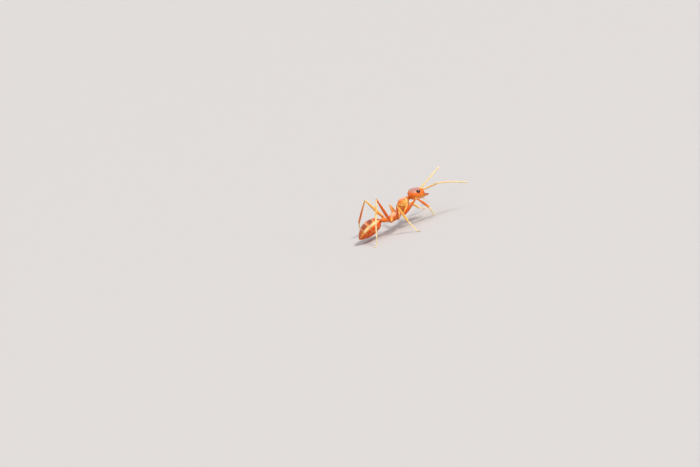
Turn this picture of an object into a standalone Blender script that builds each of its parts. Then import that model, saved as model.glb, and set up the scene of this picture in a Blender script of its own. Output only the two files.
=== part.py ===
"""Weaver ant (Oecophylla smaragdina), a major worker standing with raised hind knees.

The ant faces +X, its left side is +Y and its feet stand on Z = 0.  Every size below is in
millimetres.  The pieces are modelled at that scale under one empty that turns millimetres
into metres, because shapes of a few units suit Blender's merge distances.
"""
import bpy
import bmesh
from math import cos, pi, radians, sin, sqrt
from mathutils import Matrix, Vector

MM = 0.001             # metres in a millimetre
GAP = 0.02             # clearance between pieces that meet
LIMB_RADIUS = 0.25     # legs and feelers are half a millimetre thick
FOOT_AXIS = 0.06       # height of a foot's axis over the floor
SIDES = {"right": -1, "left": 1}

# Rigid body parts: a spine in the plane of symmetry, as (x, z, half width, half height).
# Half sizes are measured across the spine; a zero closes the end to a point.
THORAX = (
    (-1.18, 1.27, 0.00, 0.00),
    (-1.02, 1.35, 0.30, 0.32),
    (-0.72, 1.43, 0.39, 0.46),
    (-0.35, 1.51, 0.38, 0.46),
    (0.00, 1.67, 0.32, 0.39),
    (0.30, 1.93, 0.32, 0.42),
    (0.64, 2.28, 0.44, 0.52),
    (1.04, 2.58, 0.51, 0.59),
    (1.40, 2.68, 0.41, 0.42),
    (1.62, 2.69, 0.27, 0.27),
    (1.74, 2.69, 0.00, 0.00),
)
METANOTAL_SUTURE = (0.02, 1.68, 38.0)     # x, z and pitch of the cut before the propodeum
PRONOTAL_SUTURE = (0.62, 2.26, 62.0)      # the cut behind the pronotum

PETIOLE = (
    (-0.98, 1.31, 0.00, 0.00),
    (-1.10, 1.33, 0.19, 0.20),
    (-1.40, 1.42, 0.23, 0.22),
    (-1.72, 1.57, 0.27, 0.29),
    (-2.05, 1.66, 0.22, 0.22),
    (-2.28, 1.66, 0.00, 0.00),
)

GASTER = (
    (-2.08, 1.70, 0.00, 0.00),
    (-2.24, 1.65, 0.36, 0.40),
    (-2.66, 1.54, 0.66, 0.69),
    (-3.22, 1.41, 0.80, 0.83),
    (-3.80, 1.22, 0.78, 0.82),
    (-4.36, 0.97, 0.59, 0.60),
    (-4.76, 0.76, 0.32, 0.32),
    (-4.98, 0.65, 0.00, 0.00),
)
GASTER_CUTS = ((-2.92, 1.48, 14.0), (-3.62, 1.28, 19.0), (-4.22, 1.03, 24.0))

# The head has its own frame at its middle: x towards the jaws, z towards the crown.
HEAD_CENTRE = Vector((2.64, 0.0, 2.84))
HEAD_PITCH = 13.0      # degrees, face down
HEAD = (
    (-0.91, 0.02, 0.00, 0.00),
    (-0.80, 0.02, 0.50, 0.41),
    (-0.52, 0.03, 0.78, 0.61),
    (-0.16, 0.03, 0.84, 0.67),
    (0.24, 0.01, 0.79, 0.64),
    (0.56, -0.04, 0.65, 0.51),
    (0.78, -0.09, 0.52, 0.36),
    (0.89, -0.12, 0.00, 0.00),
)
EYE_CENTRE = (0.06, 0.68, 0.36)
EYE_HALF = (0.23, 0.11, 0.18)     # along the head, out of it, up the side
EYE_TILT = 38.0                   # degrees, how far the eye looks up
JAW_BASE = (0.60, 0.18, 0.50)      # head frame: how far forward, then inner and outer edge
JAW_BELLY = (1.15, 0.64)          # control point of the curved outer edge
JAW_TIP = (1.46, 0.05)
JAW_HEEL = (0.92, 0.22)           # where the toothed edge starts
JAW_TEETH = 7
JAW_TOOTH = 0.05                  # depth of a tooth
JAW_HALF_THICKNESS = 0.14
JAW_DROP = -0.26                  # height of the jaws in the head's frame
JAW_ROLL = 18.0                   # degrees, outer edges down
SCAPE_ROOT = (0.50, 0.24, 0.30)   # inside the face, in the head's frame

# Feelers: length, and direction as (azimuth, elevation) in degrees from +X.
SCAPE_LENGTH = 2.45
FLAGELLUM_LENGTH = 3.05
SCAPE_AIM = {"right": (-52, 13), "left": (56, -2)}
FLAGELLUM_AIM = {"right": ((-26, -8), (-16, -26)), "left": ((31, 10), (30, 15))}

# Legs: where the coxa starts inside the thorax, and the lengths of coxa, femur, tibia,
# tarsus and the last joints that lie on the floor.
COXA_ROOT = {"front": (1.12, 0.29, 2.16), "mid": (-0.02, 0.29, 1.60), "hind": (-0.80, 0.27, 1.42)}
LENGTHS = {
    "front": (1.05, 2.25, 1.90, 1.30, 0.38),
    "mid": (0.62, 2.45, 2.05, 1.55, 0.42),
    "hind": (0.62, 3.25, 2.85, 2.15, 0.48),
}
# Directions of coxa, femur and tibia, then the azimuth of the tarsus.
STANCE = {
    ("front", "right"): ((-155, -48), (-25, 38), (10, -54), 50),
    ("front", "left"): ((155, -48), (45, 13), (12, -49), 50),
    ("mid", "right"): ((-138, -42), (-94, 50), (-60, -66), -70),
    ("mid", "left"): ((132, -42), (76, 23), (40, -62), 55),
    ("hind", "right"): ((-139, -20), (-150, 73), (-138, -53), -150),
    ("hind", "left"): ((139, -20), (135, 57), (142, -57), 82),
}
NECK = ((1.52, 0.0, 2.68), (1.70, 0.0, 2.70), (1.92, 0.0, 2.78), (2.10, 0.0, 2.84))

AMBER = (0.72, 0.22, 0.04)
RED_AMBER = (0.55, 0.12, 0.03)
STRAW = (0.80, 0.50, 0.18)
BLACK = (0.01, 0.01, 0.01)


# ---------------------------------------------------------------- scene set-up

for old in list(bpy.data.objects):
    bpy.data.objects.remove(old, do_unlink=True)

ant = bpy.data.objects.new("weaver_ant_frame", None)
ant.scale = (MM, MM, MM)
bpy.context.scene.collection.objects.link(ant)

parts = bpy.data.collections.new("weaver_ant")
cutters = bpy.data.collections.new("cutters")
for group in (parts, cutters):
    bpy.context.scene.collection.children.link(group)


def material(name, colour, roughness):
    made = bpy.data.materials.new(name)
    made.use_nodes = True
    shader = made.node_tree.nodes["Principled BSDF"]
    shader.inputs["Base Color"].default_value = (*colour, 1.0)
    shader.inputs["Roughness"].default_value = roughness
    shader.inputs["Metallic"].default_value = 0.0
    return made


def add_object(name, bm, colour, roughness=0.35, group=parts):
    """Turn a bmesh into an object of its own, with outward faces and its own material."""
    bmesh.ops.recalc_face_normals(bm, faces=bm.faces)
    mesh = bpy.data.meshes.new(name)
    bm.to_mesh(mesh)
    bm.free()
    mesh.shade_smooth()
    mesh.set_sharp_from_angle(angle=radians(50))
    made = bpy.data.objects.new(name, mesh)
    made.data.materials.append(material(name, colour, roughness))
    made.parent = ant
    group.objects.link(made)
    return made


def add_cutter(name, bm):
    made = add_object(name, bm, BLACK, group=cutters)
    made.hide_render = True
    made.display_type = "WIRE"
    return made


def cut_by(piece, *tools):
    """Take each tool's volume off a piece."""
    for tool in tools:
        cut = piece.modifiers.new(tool.name, "BOOLEAN")
        cut.operation = "DIFFERENCE"
        cut.solver = "EXACT"
        cut.object = tool


# ---------------------------------------------------------------- shape functions

def aim(azimuth, elevation):
    """Unit vector for an azimuth from +X towards +Y and an elevation, in degrees."""
    a, e = radians(azimuth), radians(elevation)
    return Vector((cos(e) * cos(a), cos(e) * sin(a), sin(e)))


def spline(stations, t):
    """Catmull-Rom curve through the stations, for t from 0 at the first to 1 at the last."""
    place = t * (len(stations) - 1)
    i = min(int(place), len(stations) - 2)
    u = place - i
    a = stations[max(i - 1, 0)]
    b, c = stations[i], stations[i + 1]
    d = stations[min(i + 2, len(stations) - 1)]
    return [
        0.5 * (2 * q + (r - p) * u + (2 * p - 5 * q + 4 * r - s) * u**2 + (3 * q - p - 3 * r + s) * u**3)
        for p, q, r, s in zip(a, b, c, d)
    ]


def spine_loft(stations, rings, sides, grow=0.0):
    """Closed body along a spine in the XZ plane.

    The squares of the half sizes are what is interpolated, which rounds both ends.
    """
    squared = [(x, z, width**2, height**2) for x, z, width, height in stations]
    bm = bmesh.new()
    loops = []
    for k in range(1, rings):
        t = (1 - cos(pi * k / rings)) / 2
        x, z, width2, height2 = spline(squared, t)
        ahead, behind = spline(squared, min(t + 0.01, 1)), spline(squared, max(t - 0.01, 0))
        along = Vector((ahead[0] - behind[0], 0, ahead[1] - behind[1])).normalized()
        up = along.cross(Vector((0, 1, 0)))
        width, height = sqrt(max(width2, 1e-4)) + grow, sqrt(max(height2, 1e-4)) + grow
        loop = []
        for s in range(sides):
            angle = 2 * pi * s / sides
            loop.append(bm.verts.new(
                Vector((x, 0, z)) + Vector((0, width * cos(angle), 0)) + up * (height * sin(angle))))
        loops.append(loop)
    for end, beside, loop in ((stations[0], stations[1], loops[0]), (stations[-1], stations[-2], loops[-1])):
        outward = Vector((end[0] - beside[0], 0, end[1] - beside[1])).normalized()
        pole = bm.verts.new(Vector((end[0], 0, end[1])) + outward * grow)
        for s in range(sides):
            bm.faces.new((loop[s], loop[(s + 1) % sides], pole))
    for near, far in zip(loops, loops[1:]):
        for s in range(sides):
            n = (s + 1) % sides
            bm.faces.new((near[s], near[n], far[n], far[s]))
    bmesh.ops.recalc_face_normals(bm, faces=bm.faces)
    return bm


def keep_side(bm, point, normal):
    """Cut off what lies beyond the plane, on the side its normal points to, and cap the cut."""
    cut = bmesh.ops.bisect_plane(
        bm, geom=bm.verts[:] + bm.edges[:] + bm.faces[:], dist=1e-5,
        plane_co=point, plane_no=normal, clear_outer=True)
    rim = [e for e in cut["geom_cut"] if isinstance(e, bmesh.types.BMEdge) and e.is_boundary]
    bmesh.ops.holes_fill(bm, edges=rim, sides=0)


def slice_between(bm, front, rear):
    """Keep the stretch of a body between two sutures, each as (x, z, pitch) or None."""
    for suture, sign in ((front, 1), (rear, -1)):
        if suture:
            x, z, pitch = suture
            normal = aim(0, pitch) * sign
            keep_side(bm, Vector((x, 0, z)) - normal * GAP / 2, normal)
    return bm


def curve_mesh(data):
    """Closed bmesh of a curve's evaluated surface; the curve itself is removed."""
    holder = bpy.data.objects.new("curve", data)
    bpy.context.scene.collection.objects.link(holder)
    shape = holder.evaluated_get(bpy.context.evaluated_depsgraph_get())
    mesh = bpy.data.meshes.new_from_object(shape)
    bm = bmesh.new()
    bm.from_mesh(mesh)
    bmesh.ops.remove_doubles(bm, verts=bm.verts, dist=1e-4)
    bmesh.ops.recalc_face_normals(bm, faces=bm.faces)
    bpy.data.objects.remove(holder)
    bpy.data.curves.remove(data)
    bpy.data.meshes.remove(mesh)
    return bm


def tube(path, radii):
    """Closed round tube through the points of a path, with a radius at each point."""
    data = bpy.data.curves.new("tube", "CURVE")
    data.dimensions = "3D"
    data.fill_mode = "FULL"
    data.bevel_depth = 1.0
    data.bevel_resolution = 3
    data.use_fill_caps = True
    line = data.splines.new("POLY")
    line.points.add(len(path) - 1)
    for spot, place, radius in zip(line.points, path, radii):
        spot.co = (*place, 1.0)
        spot.radius = radius
    return curve_mesh(data)


def limb(start, end, radius, middle):
    """Round-ended limb segment that is `radius` thick at its joints and `middle` between them."""
    along = (end - start).normalized()
    path, radii = [], []
    for angle in (80, 50, 20):
        path.append(start - along * radius * sin(radians(angle)))
        radii.append(radius * cos(radians(angle)))
    for t in (0.12, 0.35, 0.65, 0.88):
        path.append(start.lerp(end, t))
        radii.append(radius + (middle - radius) * sin(pi * t))
    for angle in (20, 50, 80):
        path.append(end + along * radius * sin(radians(angle)))
        radii.append(radius * cos(radians(angle)))
    return tube(path, radii)


def mitre(bm, joint, before, after, keep):
    """Cut a limb on the plane that halves a joint, and keep the part `before` or `after` it."""
    normal = ((joint - before).normalized() + (after - joint).normalized()).normalized()
    if keep == "after":
        normal.negate()
    keep_side(bm, joint - normal * GAP / 2, normal)
    return bm


def head_frame():
    return Matrix.Translation(HEAD_CENTRE) @ Matrix.Rotation(radians(HEAD_PITCH), 4, "Y")


def in_head(x, y, z):
    return head_frame() @ Vector((x, y, z))


# ---------------------------------------------------------------- body

def build_body():
    """Head, neck, thorax, waist and gaster; returns the cutters that their neighbours need."""
    thorax_cutter = add_cutter("thorax_cutter", spine_loft(THORAX, 22, 18, GAP))
    gaster_cutter = add_cutter("gaster_cutter", spine_loft(GASTER, 20, 20, GAP))
    head_bm = spine_loft(HEAD, 16, 24, GAP)
    head_bm.transform(head_frame())
    head_cutter = add_cutter("head_cutter", head_bm)

    def thorax():
        return spine_loft(THORAX, 22, 18)

    add_object("pronotum", slice_between(thorax(), None, PRONOTAL_SUTURE), AMBER)
    add_object("mesonotum", slice_between(thorax(), PRONOTAL_SUTURE, METANOTAL_SUTURE), AMBER)
    add_object("propodeum", slice_between(thorax(), METANOTAL_SUTURE, None), AMBER)

    petiole = add_object("petiole", spine_loft(PETIOLE, 12, 14), AMBER)
    cut_by(petiole, thorax_cutter, gaster_cutter)

    fronts = (None, *GASTER_CUTS)
    rears = (*GASTER_CUTS, None)
    for number, (front, rear) in enumerate(zip(fronts, rears), start=1):
        segment = slice_between(spine_loft(GASTER, 20, 20), front, rear)
        add_object(f"gaster_segment_{number}", segment, RED_AMBER)

    skull = spine_loft(HEAD, 16, 24)
    skull.transform(head_frame())
    add_object("head", skull, AMBER)

    neck = add_object("neck", tube([Vector(p) for p in NECK], [0.2, 0.22, 0.22, 0.2]), AMBER)
    cut_by(neck, thorax_cutter, head_cutter)
    return thorax_cutter, head_cutter


def build_eye(side, sign, head_cutter):
    bm = bmesh.new()
    bmesh.ops.create_uvsphere(bm, u_segments=16, v_segments=10, radius=1.0)
    x, y, z = EYE_CENTRE
    place = (
        head_frame()
        @ Matrix.Translation((x, sign * y, z))
        @ Matrix.Rotation(radians(sign * EYE_TILT), 4, "X")
        @ Matrix.Diagonal((*EYE_HALF, 1.0))
    )
    bm.transform(place)
    cut_by(add_object(f"eye_{side}", bm, BLACK, 0.1), head_cutter)


def jaw_outline():
    """Left jaw seen from above in the head's frame: a curved back and a toothed inner edge."""
    base_x, base_in, base_out = JAW_BASE
    outline = []
    for k in range(9):
        t = k / 8
        x = (1 - t)**2 * base_x + 2 * t * (1 - t) * JAW_BELLY[0] + t**2 * JAW_TIP[0]
        y = (1 - t)**2 * base_out + 2 * t * (1 - t) * JAW_BELLY[1] + t**2 * JAW_TIP[1]
        outline.append((x, y))
    for k in range(1, JAW_TEETH + 1):
        for step, depth in ((0.35, JAW_TOOTH), (1.0, 0.0)):
            t = (k - 1 + step) / JAW_TEETH
            x = JAW_TIP[0] + (JAW_HEEL[0] - JAW_TIP[0]) * t
            y = JAW_TIP[1] + (JAW_HEEL[1] - JAW_TIP[1]) * t
            outline.append((x, y + depth * sqrt(t)))
    outline.append((base_x, base_in))
    return outline


def build_mandible(side, sign, head_cutter):
    data = bpy.data.curves.new("jaw", "CURVE")
    data.dimensions = "2D"
    data.fill_mode = "BOTH"
    data.extrude = JAW_HALF_THICKNESS
    outline = jaw_outline()
    edge = data.splines.new("POLY")
    edge.points.add(len(outline) - 1)
    for spot, (x, y) in zip(edge.points, outline):
        spot.co = (x, y, 0.0, 1.0)
    edge.use_cyclic_u = True
    bm = curve_mesh(data)
    middle = (JAW_BASE[1] + JAW_BASE[2]) / 2
    bm.transform(
        head_frame()
        @ Matrix.Diagonal((1.0, sign, 1.0, 1.0))
        @ Matrix.Translation((0, middle, JAW_DROP))
        @ Matrix.Rotation(radians(-JAW_ROLL), 4, "X")
        @ Matrix.Translation((0, -middle, 0))
    )
    cut_by(add_object(f"mandible_{side}", bm, RED_AMBER), head_cutter)


def swept_path(start, length, first, last, steps):
    """Points of a line whose direction turns evenly from one aim to another."""
    points = [start]
    for k in range(steps):
        t = (k + 0.5) / steps
        azimuth = first[0] + (last[0] - first[0]) * t
        elevation = first[1] + (last[1] - first[1]) * t
        points.append(points[-1] + aim(azimuth, elevation) * length / steps)
    return points


def build_feeler(side, sign, head_cutter):
    x, y, z = SCAPE_ROOT
    root = in_head(x, sign * y, z)
    elbow = root + aim(*SCAPE_AIM[side]) * SCAPE_LENGTH
    line = swept_path(elbow, FLAGELLUM_LENGTH, *FLAGELLUM_AIM[side], 8)

    scape = mitre(limb(root, elbow, LIMB_RADIUS, LIMB_RADIUS), elbow, root, line[1], "before")
    cut_by(add_object(f"scape_{side}", scape, STRAW), head_cutter)

    back = line[0] + (line[0] - line[1]).normalized() * LIMB_RADIUS
    tip = line[-1] + (line[-1] - line[-2]).normalized() * LIMB_RADIUS / 2
    path = [back, *line, tip]
    radii = [LIMB_RADIUS] * (len(path) - 1) + [LIMB_RADIUS / 2]
    flagellum = mitre(tube(path, radii), elbow, root, line[1], "after")
    add_object(f"flagellum_{side}", flagellum, STRAW)


# ---------------------------------------------------------------- legs

def leg_joints(pair, side):
    """Hip, trochanter, knee, ankle, heel and toe of one leg; the last two lie on the floor."""
    sign = SIDES[side]
    x, y, z = COXA_ROOT[pair]
    joints = [Vector((x, sign * y, z))]
    *directions, heading = STANCE[pair, side]
    *lengths, sole, toes = LENGTHS[pair]
    for direction, length in zip(directions, lengths):
        joints.append(joints[-1] + aim(*direction) * length)
    ankle = joints[-1]
    drop = ankle.z - FOOT_AXIS
    reach = sqrt(sole**2 - drop**2)
    ahead = aim(heading, 0)
    heel = Vector((ankle.x, ankle.y, FOOT_AXIS)) + ahead * reach
    return [*joints, heel, heel + ahead * toes]


def build_leg(pair, side, thorax_cutter):
    hip, trochanter, knee, ankle, heel, toe = leg_joints(pair, side)
    name = f"{pair}_{side}"

    coxa = limb(hip, trochanter, LIMB_RADIUS, LIMB_RADIUS)
    mitre(coxa, trochanter, hip, knee, "before")
    cut_by(add_object(f"coxa_{name}", coxa, AMBER), thorax_cutter)

    femur = limb(trochanter, knee, LIMB_RADIUS, LIMB_RADIUS * 1.1)
    mitre(femur, trochanter, hip, knee, "after")
    mitre(femur, knee, trochanter, ankle, "before")
    add_object(f"femur_{name}", femur, AMBER)

    tibia = limb(knee, ankle, LIMB_RADIUS, LIMB_RADIUS)
    mitre(tibia, knee, trochanter, ankle, "after")
    mitre(tibia, ankle, knee, heel, "before")
    add_object(f"tibia_{name}", tibia, STRAW)

    back = ankle + (ankle - heel).normalized() * LIMB_RADIUS
    path = [back, ankle, ankle.lerp(heel, 0.5), heel, heel.lerp(toe, 0.5), toe]
    radii = [LIMB_RADIUS] * (len(path) - 1) + [LIMB_RADIUS * 0.8]
    tarsus = tube(path, radii)
    mitre(tarsus, ankle, knee, heel, "after")
    keep_side(tarsus, Vector((0, 0, 0)), Vector((0, 0, -1)))
    add_object(f"tarsus_{name}", tarsus, STRAW)


# ---------------------------------------------------------------- assembly

def stand_on_origin():
    """Move the ant so that the middle of its footprint is the origin."""
    bpy.context.view_layer.update()
    depsgraph = bpy.context.evaluated_depsgraph_get()
    corners = []
    for piece in parts.objects:
        shape = piece.evaluated_get(depsgraph)
        corners += [shape.matrix_world @ Vector(c) for c in shape.bound_box]
    for axis in (0, 1):
        values = [c[axis] for c in corners]
        ant.location[axis] -= (min(values) + max(values)) / 2


thorax_tool, head_tool = build_body()
for body_side, body_sign in SIDES.items():
    build_eye(body_side, body_sign, head_tool)
    build_mandible(body_side, body_sign, head_tool)
    build_feeler(body_side, body_sign, head_tool)
    for leg_pair in COXA_ROOT:
        build_leg(leg_pair, body_side, thorax_tool)
stand_on_origin()
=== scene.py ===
"""Looks of the weaver ant: a major worker of Oecophylla smaragdina, life-size and standing.

The frame's solids say where every joint is.  Inside them the cuticle is made at its true
thickness: rings of points form the body's plates and the joints of legs and feelers, and
fine hairs lie on them as joined meshes.  Lengths are in millimetres until a mesh is made.
"""
from math import cos, pi, radians, sin, sqrt, tau

import bpy
import numpy as np
from mathutils import Matrix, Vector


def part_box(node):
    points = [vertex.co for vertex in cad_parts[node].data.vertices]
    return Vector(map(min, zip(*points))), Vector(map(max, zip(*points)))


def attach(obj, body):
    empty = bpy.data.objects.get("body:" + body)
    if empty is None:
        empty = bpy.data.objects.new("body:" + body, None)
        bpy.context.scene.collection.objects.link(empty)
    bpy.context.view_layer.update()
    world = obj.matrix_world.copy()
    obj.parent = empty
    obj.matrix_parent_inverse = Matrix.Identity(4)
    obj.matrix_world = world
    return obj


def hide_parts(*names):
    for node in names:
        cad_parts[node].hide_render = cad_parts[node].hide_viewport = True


MM = 0.001  # metres in a millimetre
UP = np.array((0.0, 0.0, 1.0))
SIDES = {"right": -1, "left": 1}
PAIRS = ("front", "mid", "hind")
LEG_PARTS = ("coxa", "femur", "tibia", "tarsus")
INSET = 0.03  # how far the plates lie inside the solids, which leaves room for relief
THINNEST = 0.004  # smallest half size of a ring over a body part
SOLE = 0.01  # what is lower than this is a foot's sole
SOLE_AXIS = 0.058  # height of the last foot joints over the floor
HIP_DEPTH = 0.1  # how far a leg's root goes into the thorax
RNG = np.random.default_rng(7)

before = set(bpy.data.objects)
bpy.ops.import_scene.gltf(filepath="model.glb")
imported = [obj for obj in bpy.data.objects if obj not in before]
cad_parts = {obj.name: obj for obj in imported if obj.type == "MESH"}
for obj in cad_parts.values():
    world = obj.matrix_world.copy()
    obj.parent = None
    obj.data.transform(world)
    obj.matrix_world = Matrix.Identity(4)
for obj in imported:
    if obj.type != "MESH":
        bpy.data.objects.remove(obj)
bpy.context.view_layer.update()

# ---- sizes of the body
# Body parts have the frame that the solids were designed in: x forwards and y to the left.
# A station is (x, z, half width, half height), across a spine in the plane of symmetry.

THORAX = (
    (-1.18, 1.27, 0, 0), (-1.02, 1.35, 0.3, 0.32), (-0.72, 1.43, 0.39, 0.46),
    (-0.35, 1.51, 0.38, 0.46), (0, 1.67, 0.32, 0.39), (0.3, 1.93, 0.32, 0.42),
    (0.64, 2.28, 0.44, 0.52), (1.04, 2.58, 0.51, 0.59), (1.4, 2.68, 0.41, 0.42),
    (1.62, 2.69, 0.27, 0.27), (1.74, 2.69, 0, 0),
)
METANOTAL_SUTURE = (0.02, 1.68, 38)  # x, z and pitch of the groove before the propodeum
PRONOTAL_SUTURE = (0.62, 2.26, 62)  # the groove behind the pronotum
FLANK_SEAM = (0.3, 1.75, -20)  # the groove down the flank
COLLAR = 1.44  # x of the pronotum's front rim
SPIRACLES = (  # place on the left side, and size
    ((-0.66, 0.335, 1.56), 0.042),
    ((-0.04, 0.2, 1.93), 0.034),
    ((0.44, 0.33, 2.28), 0.034),
)
NECK = ((1.46, 0, 2.68), (1.7, 0, 2.7), (1.92, 0, 2.78), (2.14, 0, 2.85))
PETIOLE = (
    (-0.98, 1.31, 0, 0), (-1.1, 1.33, 0.19, 0.2), (-1.4, 1.42, 0.23, 0.22),
    (-1.72, 1.57, 0.27, 0.29), (-2.05, 1.66, 0.22, 0.22), (-2.28, 1.66, 0, 0),
)
PETIOLE_SPIRACLE = ((-1.36, 0.19, 1.45), 0.028)
GASTER = (
    (-2.08, 1.7, 0, 0), (-2.24, 1.65, 0.36, 0.4), (-2.66, 1.54, 0.66, 0.69),
    (-3.22, 1.41, 0.8, 0.83), (-3.8, 1.22, 0.78, 0.82), (-4.36, 0.97, 0.59, 0.6),
    (-4.76, 0.76, 0.32, 0.32), (-4.98, 0.65, 0, 0),
)
GASTER_EDGES = (-2.92, -3.62, -4.22)  # x of the rear edge of each plate but the last
PLATE_LAP = 0.035  # how far a plate starts under the one before it, as a share of the gaster
LIP = 0.03  # how far its rear edge stands over the next plate

HEAD_CENTRE = (2.64, 0, 2.84)  # the head has a frame of its own, pitched face down
HEAD_PITCH = 13
HEAD = (
    (-0.91, 0.02, 0, 0), (-0.8, 0.02, 0.5, 0.41), (-0.52, 0.03, 0.78, 0.61),
    (-0.16, 0.03, 0.84, 0.67), (0.24, 0.01, 0.79, 0.64), (0.56, -0.04, 0.65, 0.51),
    (0.78, -0.09, 0.52, 0.36), (0.89, -0.12, 0, 0),
)
CLYPEUS = (0.88, 0.33, 0.44)  # shield over the jaws: x, half length, half width
CHEEK = (0.48, 0.6, 0.02)  # slight hollow before the eye
JAW_HINGE = (0.74, 0.42, -0.2)
TEMPLE = (-0.5, 0.62, 0.12)
EYE_CENTRE = (0.06, 0.68, 0.36)
EYE_HALF = (0.225, 0.105, 0.175)  # along the head, out of it, up the side
EYE_TILT = 38
EYE_ANGLE = 118  # how far the lens goes round, down into its socket
FACET = 0.021  # from one facet to the next
SOCKET = (0.47, 0.25)  # where a feeler joins the face
JAW_BASE = (0.58, 0.18, 0.5)  # how far forward, then inner and outer edge
JAW_BELLY = (1.15, 0.63)  # control point of the curved outer edge
JAW_TIP = (1.46, 0.05)
JAW_HEEL = (0.92, 0.22)  # where the toothed edge starts
HEEL_SHARE = 0.36  # and its share of the jaw's length
JAW_TEETH = 10
JAW_THICK = 0.115  # half of the blade's thickness
JAW_DROP = -0.26
JAW_ROLL = 18
LIP_PLATE = ((0.62, -0.22, 0, 0), (0.72, -0.24, 0.2, 0.05), (0.84, -0.3, 0.17, 0.05),
             (0.95, -0.38, 0, 0))
TONGUE_PLATE = ((0.2, -0.48, 0, 0), (0.34, -0.52, 0.15, 0.09), (0.58, -0.47, 0.15, 0.1),
                (0.8, -0.38, 0.09, 0.07), (0.9, -0.36, 0, 0))
PALPS = (  # root, way, joints' lengths and radius, at the left
    ((0.62, 0.17, -0.46), (0.75, 0.35, -0.55), (0.08, 0.09, 0.09, 0.08, 0.07), 0.024),
    ((0.76, 0.06, -0.42), (0.8, 0.2, -0.5), (0.05, 0.06, 0.06, 0.05), 0.018),
)

# A profile is (share of the length, radius) from one end to the other.
SCAPE = ((0, 0.05), (0.06, 0.062), (0.12, 0.036), (0.19, 0.044), (0.3, 0.062), (0.6, 0.076),
         (0.9, 0.09), (0.97, 0.088), (1, 0.052))
WHIP_LENGTHS = (0.3, 0.3) + (0.26,) * 6 + (0.27, 0.27, 0.42)  # pedicel, then the whip's joints
WHIP_GAP = 0.004
WHIP_RADII = ((0, 0.066), (1, 0.065), (4, 0.074), (9, 0.088), (10, 0.086))  # by joint
PEDICEL = ((0, 0.5), (0.05, 0.62), (0.16, 0.78), (0.8, 1), (0.95, 0.98), (1, 0.74))
WHIP_JOINT = ((0, 0.62), (0.05, 0.84), (0.16, 0.91), (0.8, 1), (0.95, 0.98), (1, 0.74))
WHIP_TIP = ((0, 0.62), (0.05, 0.84), (0.2, 0.95), (0.6, 1), (0.85, 0.78), (0.95, 0.5), (1, 0.1))

LEG_SIZES = {  # radii of coxa, femur and tibia, then the spur's length and bow
    "front": (0.225, 0.175, 0.142, 0.3, 0.06),
    "mid": (0.205, 0.148, 0.13, 0.2, 0.02),
    "hind": (0.205, 0.172, 0.106, 0.2, 0.02),
}
TROCHANTER = ((0, 0.055), (0.15, 0.092), (0.6, 0.108), (0.9, 0.092), (1, 0.05))
FOOT_SHARES = (0.55, 0.15, 0.11, 0.07, 0.12)  # lengths of the five foot joints
FOOT_RADII = (0.092, 0.058, 0.055, 0.052, 0.05)
INSTEP = ((0, 0.52), (0.08, 0.82), (0.5, 0.76), (0.93, 0.66), (1, 0.56))  # the first of them
TOE = ((0, 0.55), (0.08, 0.62), (0.5, 0.78), (0.93, 1.05), (1, 0.62))  # the others
CLAW = (0.085, 0.019)  # length and radius
PAD = (0.075, 0.034)
JOINT_GAP = 0.003

# Rings, points in a ring, and where it has hairs, their number in a square millimetre, length,
# lift in degrees, and 1 if they lie along the rings' order or -1 against it.
FORMS = {
    "head": (190, 180, 420, 0.055, 13, 1), "eye": (96, 210), "jaw": (170, 22, 60, 0.1, 38, 1),
    "palp": (12, 10, 90, 0.05, 30, 1), "lip": (26, 28, 60, 0.06, 25, 1),
    "scape": (110, 28, 420, 0.06, 18, 1), "whip": (26, 24, 900, 0.045, 22, 1),
    "thorax": (210, 132, 420, 0.065, 14, -1), "neck": (60, 48),
    "waist": (110, 72, 420, 0.06, 14, 1), "gaster": (92, 168, 620, 0.08, 10, 1),
    "coxa": (70, 36, 380, 0.07, 18, 1), "trochanter": (20, 26, 380, 0.06, 18, 1),
    "femur": (110, 32, 420, 0.065, 17, 1), "tibia": (100, 28, 480, 0.065, 20, 1),
    "instep": (60, 20, 700, 0.055, 26, 1), "toe": (20, 20, 700, 0.055, 26, 1),
    "claw": (16, 12), "pad": (14, 16), "spur": (18, 10, 260, 0.035, 40, 1),
}


# ---- small sums

def size_of(vectors):
    return np.linalg.norm(vectors, axis=-1)


def unit(vectors):
    return vectors / size_of(vectors)[..., None]


def smooth(t):
    """0 up to t = 0, 1 from t = 1, and a soft step between."""
    t = np.clip(t, 0.0, 1.0)
    return t * t * (3 - 2 * t)


def window(x, low, high, soft):
    """1 between low and high, fading over soft outside them."""
    return smooth((x - low) / soft + 1) * smooth((high - x) / soft + 1)


def bell(distance, width):
    """1 at distance 0, fading to nothing over about twice the width."""
    return np.exp(-(distance / width)**2)


def column(form):
    """Shares from 0 to 1, one in a row for each ring of a form."""
    return np.linspace(0, 1, FORMS[form][0])[:, None]


def around(form):
    """Angles all the way round a form's rings."""
    sides = FORMS[form][1]
    return np.arange(sides) * tau / sides


def radius_at(profile, share):
    return np.interp(share, *zip(*profile))


def spline(stations, t):
    """Catmull-Rom curve through the stations, at t from 0 at the first to 1 at the last."""
    stations = np.asarray(stations, float)
    last = len(stations) - 1
    far = np.clip(t, 0, 1) * last
    i = np.minimum(far.astype(int), last - 1)
    u = (far - i)[:, None]
    a, b = stations[np.maximum(i - 1, 0)], stations[i]
    c, d = stations[i + 1], stations[np.minimum(i + 2, last)]
    return 0.5 * (2 * b + (c - a) * u + (2 * a - 5 * b + 4 * c - d) * u**2
                  + (3 * b - a - 3 * c + d) * u**3)


def distances(points):
    """How far along the line through the points each of them is."""
    return np.cumsum((0, *size_of(np.diff(points, axis=0))))


def points_at(places, points, spots):
    """Points at other spots on the line through points, which are at places along it."""
    return np.stack([np.interp(spots, places, points[:, axis]) for axis in range(3)], -1)


# ---- measuring the solids

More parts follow.
